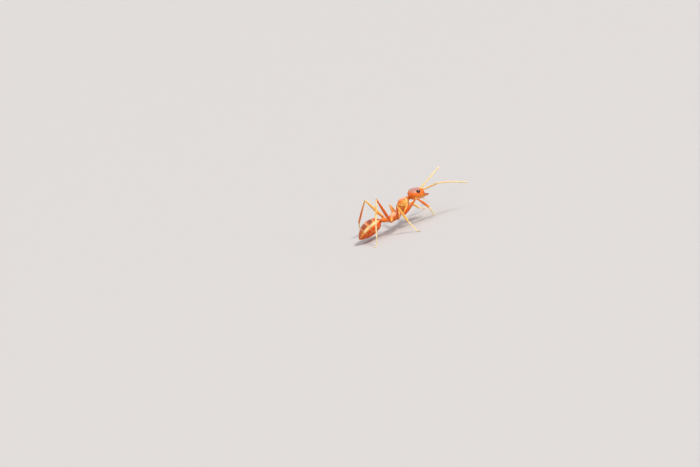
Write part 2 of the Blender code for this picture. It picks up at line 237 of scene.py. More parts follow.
def solid(node):
    """Corners and edges of a node of the frame, in millimetres."""
    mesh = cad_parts[node].data
    points = np.empty(len(mesh.vertices) * 3)
    mesh.vertices.foreach_get("co", points)
    edges = np.empty(len(mesh.edges) * 2, int)
    mesh.edges.foreach_get("vertices", edges)
    return points.reshape(-1, 3) / MM, edges.reshape(-1, 2)


def section_middle(node, spot, normal):
    """Middle of the outline that a plane cuts through a limb, which lies on its axis."""
    points, edges = solid(node)
    depth = (points - spot) @ normal
    near, far = depth[edges[:, 0]], depth[edges[:, 1]]
    cut = near * far < 0
    share = (near[cut] / (near[cut] - far[cut]))[:, None]
    outline = points[edges[cut, 0]] * (1 - share) + points[edges[cut, 1]] * share
    across = unit(np.cross(normal, (0.3, 0.5, 0.8)))  # any way that no limb runs in
    axes = np.array((across, np.cross(normal, across)))
    flat = (outline - spot) @ axes.T
    return spot + (flat.min(0) + flat.max(0)) / 2 @ axes


def axis_points(node, places):
    """Points on a limb's axis, at shares of its length from one end."""
    points, _ = solid(node)
    middle = points.mean(0)
    along = np.linalg.svd(points - middle, full_matrices=False)[2][0]
    found = []
    for _ in range(3):
        depth = (points - middle) @ along
        low, high = depth.min(), depth.max()
        spots = (middle + along * (low + (high - low) * share) for share in places)
        found = [section_middle(node, spot, along) for spot in spots]
        along = unit(found[-1] - found[0])
    return np.array(found)


def meeting(line_a, line_b):
    """Where two straight lines pass closest to each other."""
    p, q = line_a[0], line_b[0]
    a, b = line_a[-1] - p, line_b[-1] - q
    normal = np.cross(a, b)
    s, t = (np.dot(np.cross(q - p, way), normal) / np.dot(normal, normal) for way in (b, a))
    return (p + a * s + q + b * t) / 2


def leg_joints(name):
    """Hip, trochanter, knee, ankle, heel and toe of a leg, from its four solids."""
    coxa, femur, tibia = (axis_points(f"{part}_{name}", (0.4, 0.6)) for part in LEG_PARTS[:3])
    foot, _ = solid(f"tarsus_{name}")
    top = foot[:, 2].max()
    instep = np.array([section_middle(f"tarsus_{name}", UP * top * share, UP)
                       for share in (0.45, 0.65)])
    trochanter, knee, ankle = meeting(coxa, femur), meeting(femur, tibia), meeting(tibia, instep)
    rise = instep[1] - instep[0]
    heel = instep[0] - rise / rise[2] * (instep[0][2] - SOLE_AXIS)
    ahead = unit((heel - ankle) * (1, 1, 0))
    toe = heel + ahead * ((foot[foot[:, 2] < SOLE] - heel) @ ahead).max()
    root, _ = solid(f"coxa_{name}")
    inward = unit(coxa.mean(0) - trochanter)
    hip = trochanter + inward * (((root - trochanter) @ inward).max() + HIP_DEPTH)
    return np.array((hip, trochanter, knee, ankle, heel, toe))


tip_low, tip_high = (np.array(corner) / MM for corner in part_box("gaster_segment_4"))
SHIFT = np.array((tip_low[0] - GASTER[-1][0], (tip_low[1] + tip_high[1]) / 2, 0.0))


def place(points):
    """From the body's design frame to the model's frame."""
    return np.asarray(points, float) + SHIFT


def place_head(points):
    """From the head's own frame to the model's frame."""
    pitch = radians(HEAD_PITCH)
    turn = np.array(((cos(pitch), 0, sin(pitch)), (0, 1, 0), (-sin(pitch), 0, cos(pitch))))
    return place(np.asarray(points) @ turn.T + HEAD_CENTRE)


# ---- rings of points

def loft(stations, t, form, inset=INSET):
    """Rings of points over a body part, at the shares t of its length.

    A ring starts at the left, and a quarter round is the top.  The squares of the half sizes
    are interpolated, which rounds both ends.
    """
    squared = [(x, z, width**2, height**2) for x, z, width, height in stations]
    x, z, *halves = spline(squared, t).T
    ahead, behind = spline(squared, t + 0.01), spline(squared, t - 0.01)
    along = unit((ahead - behind)[:, :2])
    along *= np.sign(along[:, :1])
    width, height = (np.maximum(np.sqrt(np.maximum(half, 1e-4)) - inset, THINNEST)[:, None]
                     for half in halves)
    turn = around(form)
    rings = np.zeros((len(t), len(turn), 3))
    rings[..., 0] = x[:, None] - along[:, 1:] * np.sin(turn) * height
    rings[..., 1] = width * np.cos(turn)
    rings[..., 2] = z[:, None] + along[:, :1] * np.sin(turn) * height
    return rings


def even(form):
    """Shares of a body part's length, closer together near its two rounded ends."""
    return (1 - np.cos(np.linspace(0, pi, FORMS[form][0] + 2)[1:-1])) / 2


def sweep(path, radii, form, flat=1):
    """Rings round a path, with a radius for each of its points.  flat is their width's share."""
    turn = around(form)
    side = np.cross(unit(path[1] - path[0]), UP)
    rings = []
    for spot, along, radius in zip(path, unit(np.gradient(path, axis=0)), radii):
        side = unit(side - along * np.dot(side, along))
        top = np.cross(side, along)
        around_it = np.outer(np.cos(turn) * flat, side) + np.outer(np.sin(turn), top)
        rings.append(spot + around_it * radius)
    return np.array(rings)


def joint_sweep(start, end, profile, form, bow=0, flat=1):
    """A limb's joint between two points, with its profile softened."""
    t = column(form)
    path = start + (end - start) * t + bow * np.sin(pi * t)
    radii = radius_at(profile, t)
    for _ in range(2):
        radii[1:-1] = (radii[:-2] + 2 * radii[1:-1] + radii[2:]) / 4
    return sweep(path, radii, form, flat)


def normals(rings):
    """Outward unit normals of rings of points."""
    across = np.roll(rings, -1, 1) - np.roll(rings, 1, 1)
    found = np.cross(across, np.gradient(rings, axis=0))
    outward = rings - rings.mean(1, keepdims=True)
    sign = np.sign((found * outward).sum())
    return sign * found / np.maximum(size_of(found), 1e-12)[..., None]


def raise_by(rings, height):
    return rings + normals(rings) * height[..., None]


def lumps(rings, size, depth):
    """Slight unevenness, as height over the rings."""
    x, y, z = np.moveaxis(rings, -1, 0) / size
    waves = np.sin(2.1 * x + 1.3 * y + 0.7) * np.sin(1.7 * z - 2.3 * y)
    waves += np.sin(3.1 * y + 1.9 * z) * np.sin(2.7 * x)
    return depth * waves / 2


# ---- pieces

class Skin:
    """The surfaces of one piece: rings with a point at both ends, tints and hairs."""

    def __init__(self):
        self.surfaces = []

    def add(self, form, rings, pale, dark=0.0, painted_sheen=0.0):
        # the third tint is a painted sheen: a sky reflection painted on faces that look up
        tint = np.stack(np.broadcast_arrays(pale, dark, painted_sheen, rings[..., 0])[:3], -1)
        self.surfaces.append((rings, np.clip(tint, 0, 1), FORMS[form][2:]))

    def columns(self):
        """Each surface, with the left edge and the width of its column on the unwrap."""
        widths = np.sqrt([quads(rings)[2].sum() for rings, _, _ in self.surfaces])
        widths /= widths.sum()
        return zip(self.surfaces, np.cumsum(widths) - widths, widths)


MARGIN = np.array((0.02, 0.01))  # bare edge of a surface's column, as shares of it


def in_column(unwrap, left, width):
    """From a surface's own unwrap to its column on the piece's."""
    return (unwrap * (1 - 2 * MARGIN) + MARGIN) * (width, 1) + (left, 0)


def quads(rings):
    """Faces between rings: corners, outward normals, areas, and -1 if their order is inwards."""
    a, d = rings[:-1], rings[1:]
    b, c = np.roll(a, -1, 1), np.roll(d, -1, 1)
    cross = np.cross(c - a, d - b)
    outward = (a + c) / 2 - a.mean(1, keepdims=True)
    order = int(np.sign((cross * outward).sum()))
    size = size_of(cross)
    return (a, b, c, d), order * cross / np.maximum(size, 1e-15)[..., None], size / 2, order


def ring_faces(rows, sides):
    """Corner numbers, and places on the unwrap, of the faces over rings and their end points."""
    row, side = np.mgrid[0:rows - 1, 0:sides].reshape(2, -1, 1)
    r = row + (0, 0, 1, 1)
    s = side + (0, 1, 1, 0)
    walls = r * sides + s % sides, np.stack((s / sides, (r + 1) / (rows + 1)), -1)

    def fan(end_point, ring, order, heights):
        s = np.arange(sides)[:, None] + order
        corners = ring * sides + s % sides
        corners[:, 0] = end_point
        return corners, np.stack((s / sides, np.broadcast_to(heights, s.shape) / (rows + 1)), -1)

    first = fan(rows * sides, 0, (0, 1, 0), (0, 1, 1))
    last = fan(rows * sides + 1, rows - 1, (0, 0, 1), (rows + 1, rows, rows))
    return zip(walls, first, last)


def new_object(name, data):
    made = bpy.data.objects.new(name, data)
    bpy.context.scene.collection.objects.link(made)
    return made


def add_piece(name, points, faces, maps, tints, material, nodes=()):
    """A piece that rides on the ant, has its finish from a slot and stands for those nodes.

    Its mesh comes in lists of arrays; each array of faces has its own number of corners.
    """
    mesh = bpy.data.meshes.new(name)
    faces = [face for group in faces for face in group.tolist()]
    mesh.from_pydata(np.concatenate(points) * MM, [], faces)
    unwrap = mesh.uv_layers.new(name="OFBake")
    unwrap.data.foreach_set("uv", np.concatenate([group.ravel() for group in maps]))
    colours = np.insert(np.concatenate(tints), 3, 1, axis=1)
    tint = mesh.attributes.new("tint", "FLOAT_COLOR", "POINT")
    tint.data.foreach_set("color", colours.ravel())
    mesh.shade_smooth()
    mesh.materials.append(material)
    piece = new_object(name, mesh)
    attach(piece, "root")
    if nodes:
        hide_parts(*nodes)


def skin_piece(name, skin, material, nodes):
    points, faces, maps, tints, count = [], [], [], [], 0
    for (rings, tint, _), left, width in skin.columns():
        groups, group_maps = ring_faces(*rings.shape[:2])
        order = quads(rings)[3]
        faces += [group[:, ::order] + count for group in groups]
        maps += [in_column(group_map, left, width)[:, ::order] for group_map in group_maps]
        for found, grid in ((points, rings), (tints, tint)):
            found += grid.reshape(-1, 3), grid[:1].mean(1), grid[-1:].mean(1)
        count += rings[..., 0].size + 2
    add_piece(name, points, faces, maps, tints, material, nodes)


# ---- hairs

HAIR_RADIUS = 0.003  # of a hair 0.1 long
HAIR_PATCH = 0.0015  # half the width of a hair's patch on the unwrap
HAIR_SPREAD = 0.22  # how far hairs turn from their neighbours' way
HAIR_LIFTS = (0.6, 1.5)
HAIR_LENGTHS = (0.65, 1.25)
HAIR_SPOTS = ((-1, -1), (1, -1), (0, -1), (-0.8, 0.2), (0.8, 0.2), (0, 0.2), (0, 1))
HAIR_WALLS = ((0, 1, 4, 3), (1, 2, 5, 4), (2, 0, 3, 5))  # by its seven points, tip last
HAIR_ENDS = ((3, 4, 6), (4, 5, 6), (5, 3, 6), (2, 1, 0))


def scatter(rings, tint, density):
    """Random roots on a surface: places, normals, ways along it, tints and unwrap places."""
    (a, b, c, d), normal, area, _ = quads(rings)
    weight = (area * density).ravel()
    pick = RNG.choice(weight.size, int(weight.sum()), p=weight / weight.sum())
    s, t = RNG.random((2, len(pick), 1))
    a, b, c, d, normal = (corner.reshape(-1, 3)[pick] for corner in (a, b, c, d, normal))
    roots = (a * (1 - s) + b * s) * (1 - t) + (d * (1 - s) + c * s) * t
    along = unit((d + c - a - b) + 1e-9)
    rows, sides = rings.shape[:2]
    row, side = np.divmod(pick, sides)
    unwrap = np.stack(((side + s[:, 0]) / sides, (row + 1 + t[:, 0]) / (rows + 1)), -1)
    return roots, normal, along, tint[:-1].reshape(-1, 3)[pick], unwrap


def hair_piece(name, skin, material, thin):
    """The fine hairs of a skin: bent three-sided cones that lie along it."""
    points, maps, tints = [], [], []
    for (rings, tint, hairs), left, width in skin.columns():
        if not hairs:
            continue
        density, length, lift, lie = hairs
        roots, normal, along, colour, unwrap = scatter(rings, tint, density)
        each = len(roots), 1
        spread = RNG.normal(0, HAIR_SPREAD, each)
        along = unit(along * lie + np.cross(normal, along) * spread)
        rise = np.radians(lift * RNG.uniform(*HAIR_LIFTS, each))
        size = length * RNG.uniform(*HAIR_LENGTHS, each)
        away = along * np.cos(rise) + normal * np.sin(rise)
        bent = along * np.cos(rise * 0.4) + normal * np.sin(rise * 0.4)
        middle = roots + away * size * 0.5
        side = unit(np.cross(away, normal) + 1e-9)
        over = np.cross(side, away)
        radius = HAIR_RADIUS * thin * np.sqrt(size / 0.1)
        corners = []
        for centre, share in ((roots - away * size * 0.08, 1.0), (middle, 0.8)):
            for angle in pi / 2 + np.arange(3) * tau / 3:
                corners.append(centre + (side * cos(angle) + over * sin(angle)) * radius * share)
        corners.append(middle + bent * size * 0.5)
        points.append(np.stack(corners, 1).reshape(-1, 3))
        spots = in_column(unwrap, left, width)[:, None] + np.array(HAIR_SPOTS) * HAIR_PATCH
        maps.append(spots.reshape(-1, 2))
        tints.append(np.repeat(colour, len(corners), 0))
    maps = np.concatenate(maps)
    first = np.arange(0, len(maps), len(HAIR_SPOTS))[:, None, None]
    walls = (first + HAIR_WALLS).reshape(-1, 4)
    ends = (first + HAIR_ENDS).reshape(-1, 3)
    add_piece(name, points, [walls, ends], [maps[walls], maps[ends]], tints, material)


# ---- materials

STRAW = (1.00, 0.61, 0.14)
CREAM = (1.00, 0.89, 0.62)
UMBER = (0.25, 0.018, 0.004)
MAHOGANY = (0.3, 0.052, 0.028)
PITCH = (0.04, 0.006, 0.003)
PAINTED_CROWN_SHEEN = (0.43, 0.28, 0.29)  # greyish painted sheen on the head's crown: a sky reflection painted into its colour
PAINTED_PLATE_SHEEN = (0.92, 0.5, 0.33)  # paler painted sheen on the other plates: a sky reflection painted into their colour
NET, FINE_NET = 42000, 60000  # cells of the net relief in a metre
RELIEF, SMOOTH = 3.2e-6, 2e-7  # its depth in metres, and that of hairs and lenses


def set_inputs(node, inputs):
    """Give a node's inputs their values, or link them to the outputs of other nodes."""
    for name, value in inputs.items():
        if isinstance(value, bpy.types.NodeSocket):
            node.id_data.links.new(value, node.inputs[name])
        else:
            node.inputs[name].default_value = value


def add_node(tree, kind, inputs=None, **settings):
    node = tree.nodes.new("ShaderNode" + kind)
    for key, value in settings.items():
        setattr(node, key, value)
    set_inputs(node, inputs or {})
    return node


def cuticle(name, base, dark, gloss, painted_sheen=PAINTED_PLATE_SHEEN, pales=(STRAW, CREAM), grain=NET, relief=RELIEF,
            flesh=0.35):
    """Slightly translucent chitin with a fine net relief.

    The attribute tint leads by red to the pale colours, by green to the dark one, and by blue
    to a painted sheen, a sky reflection painted on surfaces that face up.  The pale and dark
    tints carry painted highlights and painted shade as well as the ant's own colours.
    """
    made = bpy.data.materials.new(name)
    made.use_nodes = True
    tree = made.node_tree
    spot = add_node(tree, "TexCoord").outputs["Object"]

    def mix(factor, a, b, blend="MIX"):
        """Colour a mixed with b; each is a colour or an output."""
        inputs = {0: factor, 6: a, 7: b}
        return add_node(tree, "Mix", inputs, data_type="RGBA", blend_type=blend).outputs[2]

    def noise(scale, detail, low=0, high=1):
        """Noise over the surface, from about low to about high."""
        texture = add_node(tree, "TexNoise", {"Vector": spot, "Scale": scale, "Detail": detail})
        spread = add_node(tree, "MapRange", {
            "Value": texture.outputs["Fac"], "From Min": 0.3, "From Max": 0.7,
            "To Min": low, "To Max": high})
        return spread.outputs["Result"]

    tint = add_node(tree, "Attribute", attribute_name="tint")
    parts = add_node(tree, "SeparateColor", {"Color": tint.outputs["Color"]}).outputs
    ramp = add_node(tree, "ValToRGB", {"Fac": parts["Red"]})
    ramp.color_ramp.elements.new(0.5)
    for stop, shade in zip(ramp.color_ramp.elements, (base, *pales)):
        stop.color = (*shade, 1)
    # the tint's blue mixes in the painted sheen, a painted sky reflection
    colour = mix(parts["Blue"], ramp.outputs["Color"], (*painted_sheen, 1))
    colour = mix(parts["Green"], colour, (*dark, 1))
    mottle = mix(noise(1700, 4), (0.9, 0.82, 0.72, 1), (1.05, 1.1, 1.08, 1))
    colour = mix(0.9, colour, mottle, "MULTIPLY")
    speck = mix(noise(14000, 3), (0.86, 0.82, 0.8, 1), (1, 1, 1, 1))
    colour = mix(0.7, colour, speck, "MULTIPLY")

    net_inputs = {"Vector": spot, "Scale": grain, "Smoothness": 0.4}
    net = add_node(tree, "TexVoronoi", net_inputs, feature="SMOOTH_F1").outputs["Distance"]
    fine = add_node(tree, "Bump", {"Strength": 0.8, "Distance": relief, "Height": net})
    dents = add_node(tree, "Bump", {
        "Strength": 0.7, "Distance": relief * 2, "Height": noise(9000, 3),
        "Normal": fine.outputs["Normal"]})
    set_inputs(tree.nodes["Principled BSDF"], {
        "Base Color": colour, "Roughness": noise(7000, 4, gloss - 0.07, gloss + 0.09),
        "IOR": 1.54, "Specular IOR Level": 0.32, "Normal": dents.outputs["Normal"],
        "Subsurface Weight": flesh, "Subsurface Radius": (1.0, 0.42, 0.16),
        "Subsurface Scale": 0.00022})
    return made


head_cuticle = cuticle("head_cuticle", (0.96, 0.205, 0.006), UMBER, 0.26, painted_sheen=PAINTED_CROWN_SHEEN)
body_cuticle = cuticle("body_cuticle", (0.9, 0.18, 0.006), UMBER, 0.28)
gaster_cuticle = cuticle("gaster_cuticle", (0.82, 0.085, 0.004), MAHOGANY, 0.24)
leg_cuticle = cuticle("leg_cuticle", (0.84, 0.15, 0.006), UMBER, 0.32, grain=FINE_NET)
feeler_cuticle = cuticle("feeler_cuticle", (0.9, 0.36, 0.04), UMBER, 0.4, grain=FINE_NET)
jaw_cuticle = cuticle("jaw_cuticle", (0.56, 0.085, 0.008), PITCH, 0.24, grain=FINE_NET)
hair_gold = cuticle("hair_gold", (0.98, 0.5, 0.13), (0.34, 0.13, 0.06), 0.45, relief=SMOOTH)
hair_amber = cuticle("hair_amber", (0.94, 0.2, 0.02), (0.36, 0.13, 0.08), 0.4, relief=SMOOTH)
eye_black = cuticle("eye_black", (0.02, 0.01, 0.007), (0.004, 0.003, 0.003), 0.14,
                    pales=((0.05, 0.042, 0.038), (0.1, 0.09, 0.08)), relief=SMOOTH, flesh=0.0)


# ---- dressing

def dress(name, skin, material, nodes=(), hairs=None, hair=hair_gold, thin=1):
    """The two pieces of a skin: its cuticle and its hairs, thinned."""
    skin_piece(name, skin, material, nodes)
    hair_piece(hairs or f"{name}_hairs", skin, hair, thin)


def body_skin(form, stations, relief, put):
    """A skin over a body part, with what relief says of its height and tint."""
    rings = loft(stations, even(form), form)
    height, *tint = relief(rings)
    skin = Skin()
    skin.add(form, put(raise_by(rings, height)), *tint)
    return skin


# ---- head

def eye_frame(sign):
    """An eye's centre and axes in the head's frame: along the head, out of it, up its side."""
    tilt = radians(EYE_TILT)
    out, up = (0, sign * cos(tilt), sin(tilt)), (0, -sign * sin(tilt), cos(tilt))
    return np.array(EYE_CENTRE) * (1, sign, 1), np.array(((1, 0, 0), out, up))


def head_relief(rings):
    """Height of the relief over the head's rings, then paleness, darkness and painted sheen."""
    x, y, z = np.moveaxis(rings, -1, 0)
    wide = np.abs(y)
    top, under = smooth(z / 0.2 + 0.5), smooth(-z / 0.2 - 0.2)
    height = lumps(rings, 0.16, 0.004)

    shield = np.hypot((x - CLYPEUS[0]) / CLYPEUS[1], y / CLYPEUS[2]) - 1
    height += top * (0.028 * smooth(-shield / 0.5) - 0.02 * bell(shield, 0.07))
    height += 0.02 * bell(x - 0.8, 0.035) * window(z, -0.14, 0.3, 0.05) * window(wide, -1, 0.4, 0.1)
    # darker round the clypeus's rim groove: painted shade in the groove
    dark = top * 0.5 * bell(shield, 0.06)

    keel = wide - 0.12 - 0.17 * smooth((0.52 - x) / 0.75)  # frontal carinae
    height += 0.034 * bell(keel, 0.02) * window(x, 0.22, 0.5, 0.12) * top
    socket = np.hypot(x - SOCKET[0], wide - SOCKET[1])
    height += top * (-0.06 * bell(socket, 0.055) + 0.02 * bell(socket - 0.095, 0.028))
    # darker in the feelers' sockets: painted shade in the pits
    dark += top * 0.7 * bell(socket, 0.06)
    height -= top * 0.01 * bell(y, 0.014) * window(x, -0.45, 0.5, 0.1)  # line down the face
    height -= top * 0.014 * bell(np.hypot(x - 0.52, y), 0.05)  # frontal pit

    for sign in (-1, 1):
        centre, axes = eye_frame(sign)
        ahead, out, up = np.moveaxis((rings - centre) @ axes.T, -1, 0)
        rim = np.hypot(ahead / EYE_HALF[0], up / EYE_HALF[2]) - 1
        here = smooth(out / 0.1 + 2.0)
        height += here * (0.012 * bell(rim - 0.26, 0.12) - 0.022 * bell(rim, 0.1))
        # darker in the groove round the eye: painted shade
        dark += here * 0.35 * bell(rim, 0.12)
        cheek, hinge, temple = (size_of(rings - np.array(spot) * (1, sign, 1))
                                for spot in (CHEEK, JAW_HINGE, TEMPLE))
        height += 0.015 * bell(temple, 0.28) - 0.018 * bell(cheek, 0.2) - 0.045 * bell(hinge, 0.1)
        # darker in the hollow at the jaw's hinge: painted shade
        dark += 0.6 * bell(hinge, 0.1)

    beside = window(x, 0.1, 0.85, 0.12)  # grooves beside the tongue plate
    height -= under * 0.03 * bell(wide - 0.19, 0.028) * beside
    height -= under * 0.016 * bell(y, 0.016) * window(x, -0.75, 0.1, 0.1)
    # darker in these grooves: painted shade
    dark += under * 0.35 * bell(wide - 0.19, 0.04) * beside
    # paler low on the head: painted light from below
    pale = 0.24 * smooth((0.1 - z) / 0.5) * window(x, -0.4, 0.5, 0.3)
    # a greyish patch on the crown: painted sky reflection
    crown = window(x, -0.56, 0.1, 0.42) * (1 + 40 * lumps(rings, 0.07, 0.004))
    painted_sheen = 0.82 * smooth((z - 0.1) / 0.38) * np.clip(crown, 0, 1)
    return height, pale, dark, painted_sheen


def build_head():
    skin = body_skin("head", HEAD, head_relief, place_head)
    dress("head_capsule", skin, head_cuticle, ["head"], "head_hairs", thin=0.75)


def build_eye(side, sign):
    """A compound eye: a low dome whose facets stand in a hexagonal net."""
    angle = np.linspace(0.02, radians(EYE_ANGLE), FORMS["eye"][0])[:, None]
    turn = around("eye")
    u, v = EYE_HALF[0] * angle * np.cos(turn), EYE_HALF[2] * angle * np.sin(turn)
    gap = np.full(u.shape, np.inf)  # from the nearest facet's centre
    for shift in (0, 0.5):
        du, dv = u / FACET - shift, v / (FACET * sqrt(3)) - shift
        gap = np.minimum(gap, np.hypot(du - np.round(du), (dv - np.round(dv)) * sqrt(3)))
    dome = 1 - np.minimum(gap / 0.5, 1)**2
    round_axes = np.sin(angle) * np.cos(turn), np.cos(angle), np.sin(angle) * np.sin(turn)
    rings = np.stack(np.broadcast_arrays(*round_axes), -1) * EYE_HALF
    rings *= (1 + 0.016 * dome)[..., None]
    centre, axes = eye_frame(sign)
    skin = Skin()
    skin.add("eye", place_head(rings @ axes + centre), 0.25 * (1 - dome))
    skin_piece(f"eye_lens_{side}", skin, eye_black, [f"eye_{side}"])


def place_jaw(points, sign):
    """From a left jaw seen from above to the model's frame."""
    middle = (JAW_BASE[1] + JAW_BASE[2]) / 2
    roll = radians(-JAW_ROLL)
    turn = np.array(((1, 0, 0), (0, cos(roll), -sin(roll)), (0, sin(roll), cos(roll))))
    points = (points - (0, middle, 0)) @ turn.T + (0, middle, JAW_DROP)
    return place_head(points * (1, sign, 1))


def jaw_edges(u):
    """Outer and toothed inner edge of a jaw seen from above, at shares u of its length."""
    forward, inner_side, outer_side = JAW_BASE
    belly, tip, heel = np.array((JAW_BELLY, JAW_TIP, JAW_HEEL))
    t = u[:, None]
    outer = (1 - t)**2 * np.array((forward, outer_side)) + 2 * t * (1 - t) * belly + t**2 * tip
    back = np.minimum(t / HEEL_SHARE, 1)
    edge = np.clip((u - HEEL_SHARE) / (1 - HEEL_SHARE), 0, 1)
    inner = np.array((forward, inner_side)) * (1 - back) + heel * back
    inner = np.where(t > HEEL_SHARE, heel + (tip - heel) * edge[:, None], inner)
    tooth = (edge**1.15 * JAW_TEETH) % 1.0
    teeth = 0.055 * np.sin(pi * tooth)**0.8 * np.sqrt(1 - edge) + 0.012 * (1 - edge)
    inner[:, 1] += np.where(u > HEEL_SHARE, teeth, 0)
    return outer, inner


def build_jaw(side, sign):
    """A mandible: a bent blade with a thick outer edge and teeth along the inner one."""
    u, turn = column("jaw"), around("jaw")
    outer, inner = jaw_edges(u[:, 0])
    across = (1 - np.cos(turn)) / 2
    flat = outer[:, None] + (inner - outer)[:, None] * across[:, None]
    thick = JAW_THICK * (1 - 0.55 * u**1.5) * np.sin(turn) * (1 - 0.62 * across)
    bend = 0.04 * np.sin(pi * u) - 0.06 * u**3
    rings = place_jaw(np.concatenate((flat, (thick + bend)[..., None]), -1), sign)
    rings = raise_by(rings, lumps(rings, 0.1, 0.003))
    dark = 0.75 * smooth((across - 0.7) / 0.3) * smooth(u * 2) + 0.5 * smooth(u * 4 - 3)
    skin = Skin()
    skin.add("jaw", rings, 0.25 * (1 - u) * (1 - across), dark)
    dress(f"jaw_{side}", skin, jaw_cuticle, [f"mandible_{side}"])


def add_palp(skin, spot, way, sizes, radius):
    """A short jointed feeler of the mouth, which bends down."""
    profile = ((0, radius * 0.6), (0.2, radius * 0.85), (0.8, radius), (1, radius * 0.6))
    for k, size in enumerate(sizes):
        way = unit(way + (0, 0, -0.16 * k))
        end = spot + way * size
        skin.add("palp", place_head(joint_sweep(spot, end, profile, "palp")), 0.5)
        spot = end - way * size * 0.05


def build_mouth():
    """Labrum, tongue plate and palps, between and under the jaws."""
    skin = Skin()
    for stations, pale in ((LIP_PLATE, 0.2), (TONGUE_PLATE, 0.3)):
        skin.add("lip", place_head(loft(stations, even("lip"), "lip", 0)), pale, 0.1)
    for sign in (-1, 1):
        for root, way, sizes, radius in PALPS:
            mirror = np.array((1, sign, 1))
            add_palp(skin, root * mirror, way * mirror, sizes, radius)
    dress("mouthparts", skin, body_cuticle, hairs="mouth_hairs")


def add_scape(skin, scape, elbow, sign):
    """A feeler's long first joint, which bends out of its socket towards the solid's axis."""
    root = place_head((SOCKET[0], sign * SOCKET[1], 0.44))
    over = place_head((SOCKET[0] + 0.04, sign * (SOCKET[1] + 0.03), 0.53))
    inward = unit(scape[0] - elbow)
    reach = np.dot(root - elbow, inward)
    bends = [elbow + inward * far for far in (0.8 * reach, 0.45 * reach, 0.02)]
    share = column("scape")
    path = spline([root, over, *bends], share[:, 0])
    skin.add("scape", sweep(path, radius_at(SCAPE, share), "scape"), 0.1 + 0.6 * share)


def build_feeler(side, sign):
    """Scape, pedicel and the ten joints of a feeler."""
    scape = axis_points(f"scape_{side}", (0.45, 0.75))
    whip = axis_points(f"flagellum_{side}", np.linspace(0.12, 0.94, 9))
    first, last = size_of(whip[[0, -1]] - scape.mean(0))
    if last < first:
        whip = whip[::-1]
    elbow = meeting(scape, whip[:2])
    skin = Skin()
    add_scape(skin, scape, elbow, sign)

    rows = FORMS["whip"][0]
    points, _ = solid(f"flagellum_{side}")
    end_way = unit(whip[-1] - whip[-2])
    tip = whip[-1] + end_way * ((points - whip[-1]) @ end_way).max()
    line = np.array((elbow, *whip, tip))
    places = distances(line)
    ends = np.cumsum((0, *WHIP_LENGTHS)) / np.sum(WHIP_LENGTHS) * places[-1]
    profiles = [PEDICEL, *[WHIP_JOINT] * (len(WHIP_LENGTHS) - 2), WHIP_TIP]
    for k, (start, end, profile) in enumerate(zip(ends, ends[1:], profiles)):
        path = points_at(places, line, np.linspace(start + WHIP_GAP, end - WHIP_GAP / 2, rows))
        radii = radius_at(WHIP_RADII, k) * radius_at(profile, np.linspace(0, 1, rows))
        skin.add("whip", sweep(path, radii, "whip"), 0.55 + 0.04 * k, 0.12 * (k > 7))
    nodes = [f"scape_{side}", f"flagellum_{side}"]
    dress(f"antenna_{side}", skin, feeler_cuticle, nodes, thin=0.8)


# ---- thorax, waist and gaster

def from_groove(rings, suture):
    x, z, pitch = suture
    return (rings[..., 0] - x) * cos(radians(pitch)) + (rings[..., 2] - z) * sin(radians(pitch))


def distance_from(rings, spot):
    """Distance of points from a spot at the left, or at the right from its mirror image."""
    return size_of(np.abs(rings * (0, 1, 0)) + rings * (1, 0, 1) - spot)


def spiracle(rings, spot, size):
    """Height and darkness of a spiracle: a pit in a raised ring, on both sides, its darkness
    painted shade in the pit.
    """
    gap = distance_from(rings, spot)
    height = 0.35 * size * bell(gap - size, size * 0.35) - 0.7 * size * bell(gap, size * 0.6)
    return height, 0.9 * bell(gap, size * 0.7)


